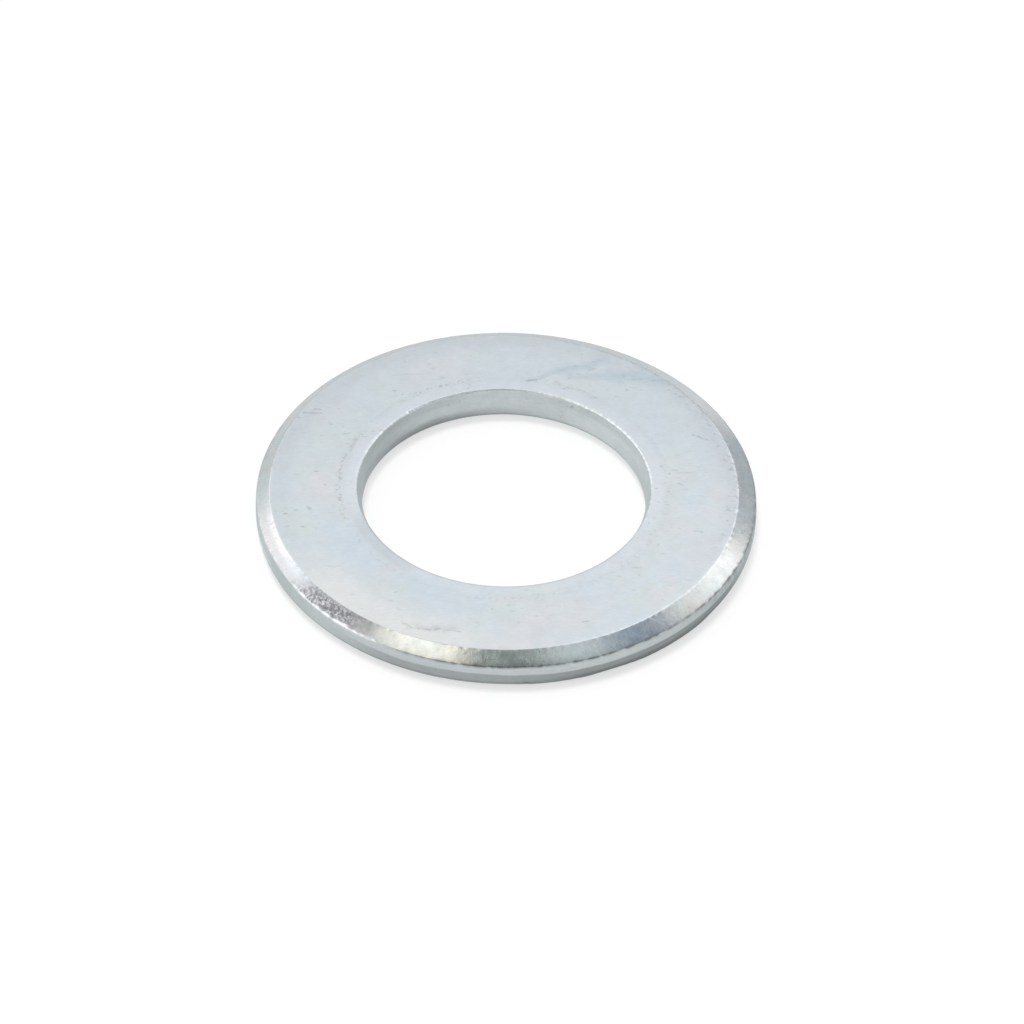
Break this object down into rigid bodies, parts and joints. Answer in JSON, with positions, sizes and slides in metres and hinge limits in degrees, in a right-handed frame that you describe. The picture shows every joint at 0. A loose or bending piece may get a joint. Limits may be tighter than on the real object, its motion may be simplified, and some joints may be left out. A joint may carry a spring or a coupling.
{
  "type": "flat washer",
  "caption": "Round flat steel washer with a wide plain bore and a shallow chamfer round the top of its rim, spreads the load under a nut or bolt head.",
  "frame": {"origin": "centre of the bore on the bottom face, the one that the washer rests on", "axes": "+Z along the bore's axis, from the bottom face to the chamfered top face"},
  "size_m": [0.066, 0.066, 0.0046],
  "materials": {
    "zinc_plate": "bright zinc plating, satin on the faces and glossy on the chamfer"
  },
  "bodies": {
    "root": {"washer": "zinc_plate"}
  },
  "joints": []
}
